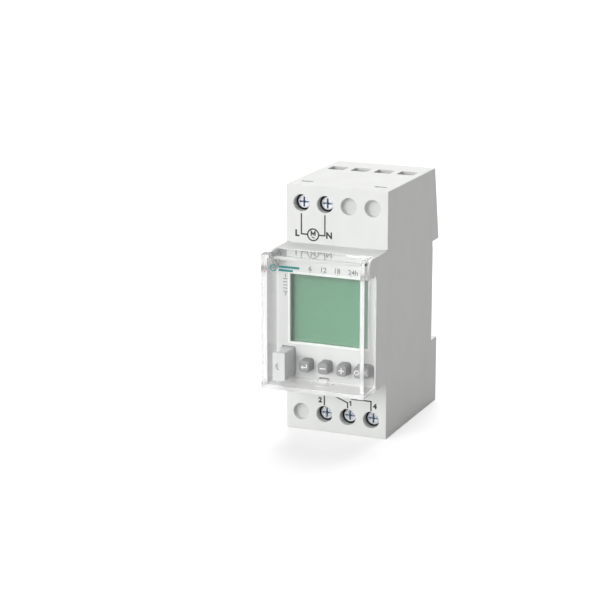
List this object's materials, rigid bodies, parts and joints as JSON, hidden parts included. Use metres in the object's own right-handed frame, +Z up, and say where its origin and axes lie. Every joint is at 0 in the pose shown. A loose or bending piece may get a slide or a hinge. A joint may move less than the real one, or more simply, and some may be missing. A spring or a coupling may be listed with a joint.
{
  "type": "din rail timer",
  "caption": "Modular DIN rail digital time switch with a hinged clear cover, display, push buttons, data key and screw terminals.",
  "frame": {"origin": "centre of the flat face that seats on the 35 mm rail", "axes": "+Z up along the height, +Y out of the back towards the rail, +X to the right of someone facing the front, which faces -Y"},
  "size_m": [0.036, 0.0709, 0.084],
  "materials": {
    "housing_plastic": "fine matte moulded",
    "front_plastic": "fine matte moulded",
    "panel_plastic": "satin",
    "clear_plastic": "clear polished",
    "window_plastic": "clear polished",
    "button_plastic": "satin",
    "plunger_plastic": "moulded",
    "switch_body": "moulded",
    "key_plastic": "satin",
    "black_plastic": "moulded",
    "latch_plastic": "glass filled",
    "spring_steel": "drawn wire",
    "zinc_steel": "bright zinc plated",
    "cage_steel": "zinc plated strip",
    "tinned_brass": "tinned",
    "display_green": "liquid crystal cell",
    "reflector_foil": "foil",
    "carrier_plastic": "moulded",
    "conductive_rubber": "layered",
    "board_laminate": "solder mask",
    "relay_case": "moulded",
    "capacitor_box": "moulded",
    "capacitor_sleeve": "shrink sleeve",
    "varistor_coat": "epoxy dip",
    "resistor_ceramic": "cement coated",
    "crystal_can": "drawn can",
    "cell_steel": "nickel plated"
  },
  "bodies": {
    "root": {"backup_cell": "cell_steel", "board_header": "black_plastic", "bridge_rectifier": "black_plastic", "cell_clip": "cell_steel", "clock_crystal": "crystal_can", "contact_bar_1": "tinned_brass", "contact_bar_2": "tinned_brass", "contact_bar_4": "tinned_brass", "contact_bar_l": "tinned_brass", "contact_bar_n": "tinned_brass", "data_key": "key_plastic", "display_board": "board_laminate", "display_window": "window_plastic", "dropper_capacitor": "capacitor_box", "front_cap": "front_plastic", "front_panel": "panel_plastic", "fuse_resistor": "resistor_ceramic", "housing_shell": "housing_plastic", "key_socket": "black_plastic", "latch_spring": "spring_steel", "lcd_carrier": "carrier_plastic", "lcd_glass": "display_green", "lcd_reflector": "reflector_foil", "microcontroller": "black_plastic", "power_board": "board_laminate", "relay": "relay_case", "smoothing_capacitor": "capacitor_sleeve", "tact_switch_minus": "switch_body", "tact_switch_ok": "switch_body", "tact_switch_plus": "switch_body", "tact_switch_return": "switch_body", "varistor": "varistor_coat", "zebra_strip_lower": "conductive_rubber", "zebra_strip_upper": "conductive_rubber"},
    "cover": {"clear_cover": "clear_plastic"},
    "latch": {"din_latch": "latch_plastic"},
    "button_return": {"button_return": "button_plastic", "tact_plunger_return": "plunger_plastic"},
    "button_minus": {"button_minus": "button_plastic", "tact_plunger_minus": "plunger_plastic"},
    "button_plus": {"button_plus": "button_plastic", "tact_plunger_plus": "plunger_plastic"},
    "button_ok": {"button_ok": "button_plastic", "tact_plunger_ok": "plunger_plastic"},
    "screw_l": {"terminal_screw_l": "zinc_steel"},
    "cage_l": {"terminal_cage_l": "cage_steel"},
    "screw_n": {"terminal_screw_n": "zinc_steel"},
    "cage_n": {"terminal_cage_n": "cage_steel"},
    "screw_2": {"terminal_screw_2": "zinc_steel"},
    "cage_2": {"terminal_cage_2": "cage_steel"},
    "screw_1": {"terminal_screw_1": "zinc_steel"},
    "cage_1": {"terminal_cage_1": "cage_steel"},
    "screw_4": {"terminal_screw_4": "zinc_steel"},
    "cage_4": {"terminal_cage_4": "cage_steel"}
  },
  "joints": [
    {"name": "cover_hinge", "type": "hinge", "parent": "root", "child": "cover", "pos_m": [0, -0.0576, 0.0205], "axis": [-1, 0, 0], "range_deg": [0, 95]},
    {"name": "latch_slide", "type": "slide", "parent": "root", "child": "latch", "axis": [0, 0, -1], "range_m": [0, 0.003], "stiffness_N_per_m": 1200, "springref_m": -0.002, "deforming": ["latch_spring"]},
    {"name": "button_return_press", "type": "slide", "parent": "root", "child": "button_return", "axis": [0, 1, 0], "range_m": [0, 0.0005], "stiffness_N_per_m": 1500},
    {"name": "button_minus_press", "type": "slide", "parent": "root", "child": "button_minus", "axis": [0, 1, 0], "range_m": [0, 0.0005], "stiffness_N_per_m": 1500},
    {"name": "button_plus_press", "type": "slide", "parent": "root", "child": "button_plus", "axis": [0, 1, 0], "range_m": [0, 0.0005], "stiffness_N_per_m": 1500},
    {"name": "button_ok_press", "type": "slide", "parent": "root", "child": "button_ok", "axis": [0, 1, 0], "range_m": [0, 0.0005], "stiffness_N_per_m": 1500},
    {"name": "screw_l_turn", "type": "hinge", "parent": "root", "child": "screw_l", "pos_m": [-0.01257, -0.041, 0.0369], "axis": [0, 1, 0], "range_deg": [0, 2880]},
    {"name": "cage_l_lift", "type": "slide", "parent": "root", "child": "cage_l", "axis": [0, -1, 0], "range_m": [0, 0.0048]},
    {"name": "screw_n_turn", "type": "hinge", "parent": "root", "child": "screw_n", "pos_m": [-0.00419, -0.041, 0.0369], "axis": [0, 1, 0], "range_deg": [0, 2880]},
    {"name": "cage_n_lift", "type": "slide", "parent": "root", "child": "cage_n", "axis": [0, -1, 0], "range_m": [0, 0.0048]},
    {"name": "screw_2_turn", "type": "hinge", "parent": "root", "child": "screw_2", "pos_m": [-0.00419, -0.041, -0.0349], "axis": [0, 1, 0], "range_deg": [0, 2880]},
    {"name": "cage_2_lift", "type": "slide", "parent": "root", "child": "cage_2", "axis": [0, -1, 0], "range_m": [0, 0.0048]},
    {"name": "screw_1_turn", "type": "hinge", "parent": "root", "child": "screw_1", "pos_m": [0.00419, -0.041, -0.0349], "axis": [0, 1, 0], "range_deg": [0, 2880]},
    {"name": "cage_1_lift", "type": "slide", "parent": "root", "child": "cage_1", "axis": [0, -1, 0], "range_m": [0, 0.0048]},
    {"name": "screw_4_turn", "type": "hinge", "parent": "root", "child": "screw_4", "pos_m": [0.01257, -0.041, -0.0349], "axis": [0, 1, 0], "range_deg": [0, 2880]},
    {"name": "cage_4_lift", "type": "slide", "parent": "root", "child": "cage_4", "axis": [0, -1, 0], "range_m": [0, 0.0048]}
  ],
  "couplings": [
    {"joint": "screw_l_turn", "follows": "cage_l_lift", "rad_per_m": 10472},
    {"joint": "screw_n_turn", "follows": "cage_n_lift", "rad_per_m": 10472},
    {"joint": "screw_2_turn", "follows": "cage_2_lift", "rad_per_m": 10472},
    {"joint": "screw_1_turn", "follows": "cage_1_lift", "rad_per_m": 10472},
    {"joint": "screw_4_turn", "follows": "cage_4_lift", "rad_per_m": 10472}
  ]
}
